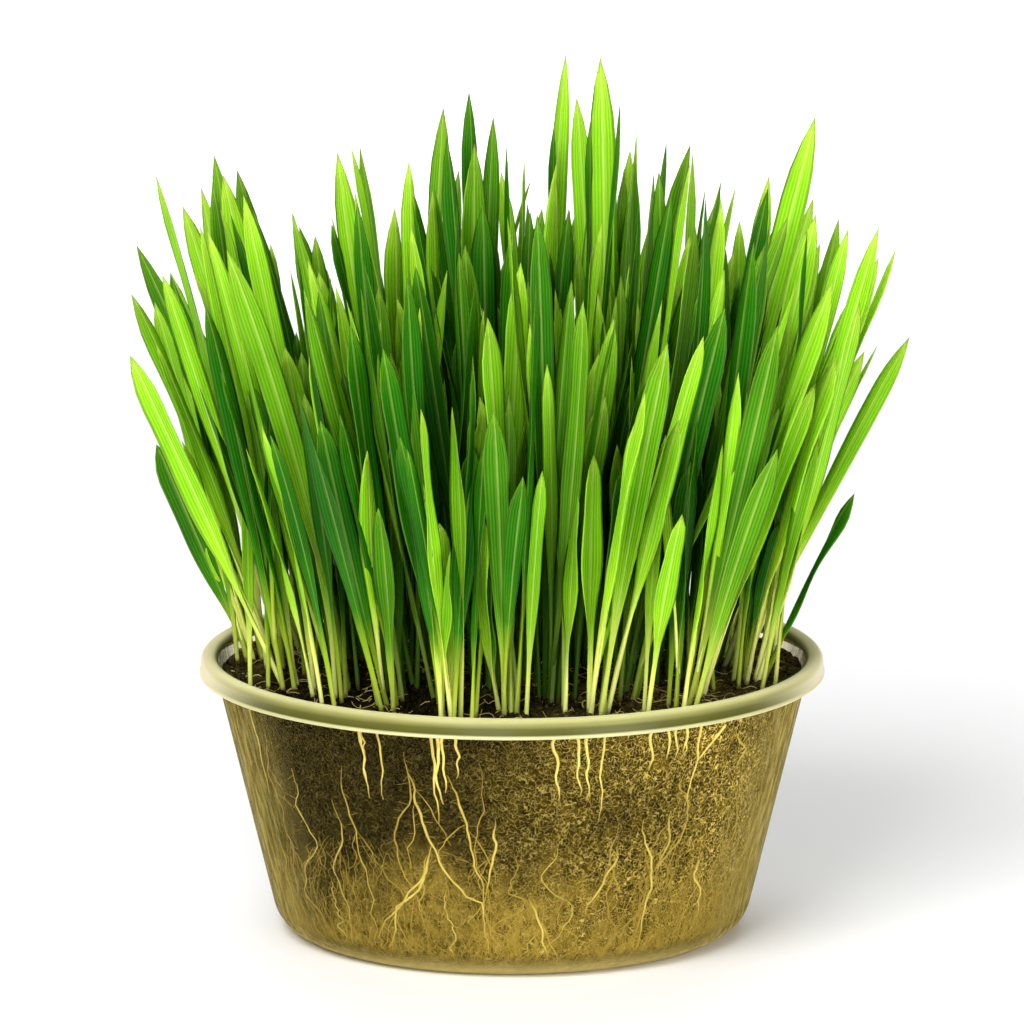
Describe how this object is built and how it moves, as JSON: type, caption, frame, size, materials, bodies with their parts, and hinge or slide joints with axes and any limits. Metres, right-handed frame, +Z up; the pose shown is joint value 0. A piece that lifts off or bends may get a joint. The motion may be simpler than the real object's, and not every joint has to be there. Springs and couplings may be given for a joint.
{
  "type": "potted wheatgrass",
  "caption": "Wheatgrass growing upright in a round, tapered clear plastic tub with a rolled rim, its soil and root mat showing through the wall.",
  "frame": {"origin": "middle of the tub's flat underside, on the surface that it stands on", "axes": "+Z up along the tub's axis; +X to the viewer's right and +Y away from the viewer in the picture"},
  "size_m": [0.1863, 0.1827, 0.2066],
  "materials": {
    "clear_plastic": "gloss",
    "potting_soil": "matte",
    "roots": "matte",
    "wheat_leaf": "satin"
  },
  "bodies": {
    "root": {"tub": "clear_plastic", "soil": "potting_soil", "root_mat": "roots", "shoots_01": "wheat_leaf", "shoots_02": "wheat_leaf", "shoots_03": "wheat_leaf", "shoots_04": "wheat_leaf", "shoots_05": "wheat_leaf", "shoots_06": "wheat_leaf", "shoots_07": "wheat_leaf", "shoots_08": "wheat_leaf", "shoots_09": "wheat_leaf", "shoots_10": "wheat_leaf", "shoots_11": "wheat_leaf", "shoots_12": "wheat_leaf", "shoots_13": "wheat_leaf", "shoots_14": "wheat_leaf", "shoots_15": "wheat_leaf", "shoots_16": "wheat_leaf", "shoots_17": "wheat_leaf", "shoots_18": "wheat_leaf", "shoots_19": "wheat_leaf", "shoots_20": "wheat_leaf", "shoots_21": "wheat_leaf", "shoots_22": "wheat_leaf", "shoots_23": "wheat_leaf", "shoots_24": "wheat_leaf", "shoots_25": "wheat_leaf", "shoots_26": "wheat_leaf", "shoots_27": "wheat_leaf", "shoots_28": "wheat_leaf", "shoots_29": "wheat_leaf", "shoots_30": "wheat_leaf", "shoots_31": "wheat_leaf", "shoots_32": "wheat_leaf", "shoots_33": "wheat_leaf", "shoots_34": "wheat_leaf", "shoots_35": "wheat_leaf", "shoots_36": "wheat_leaf", "shoots_37": "wheat_leaf", "shoots_38": "wheat_leaf", "shoots_39": "wheat_leaf", "shoots_40": "wheat_leaf", "shoots_41": "wheat_leaf", "shoots_42": "wheat_leaf", "shoots_43": "wheat_leaf", "shoots_44": "wheat_leaf", "shoots_45": "wheat_leaf", "shoots_46": "wheat_leaf", "shoots_47": "wheat_leaf", "shoots_48": "wheat_leaf", "shoots_49": "wheat_leaf", "shoots_50": "wheat_leaf", "shoots_51": "wheat_leaf", "shoots_52": "wheat_leaf", "shoots_53": "wheat_leaf", "shoots_54": "wheat_leaf"}
  },
  "joints": []
}
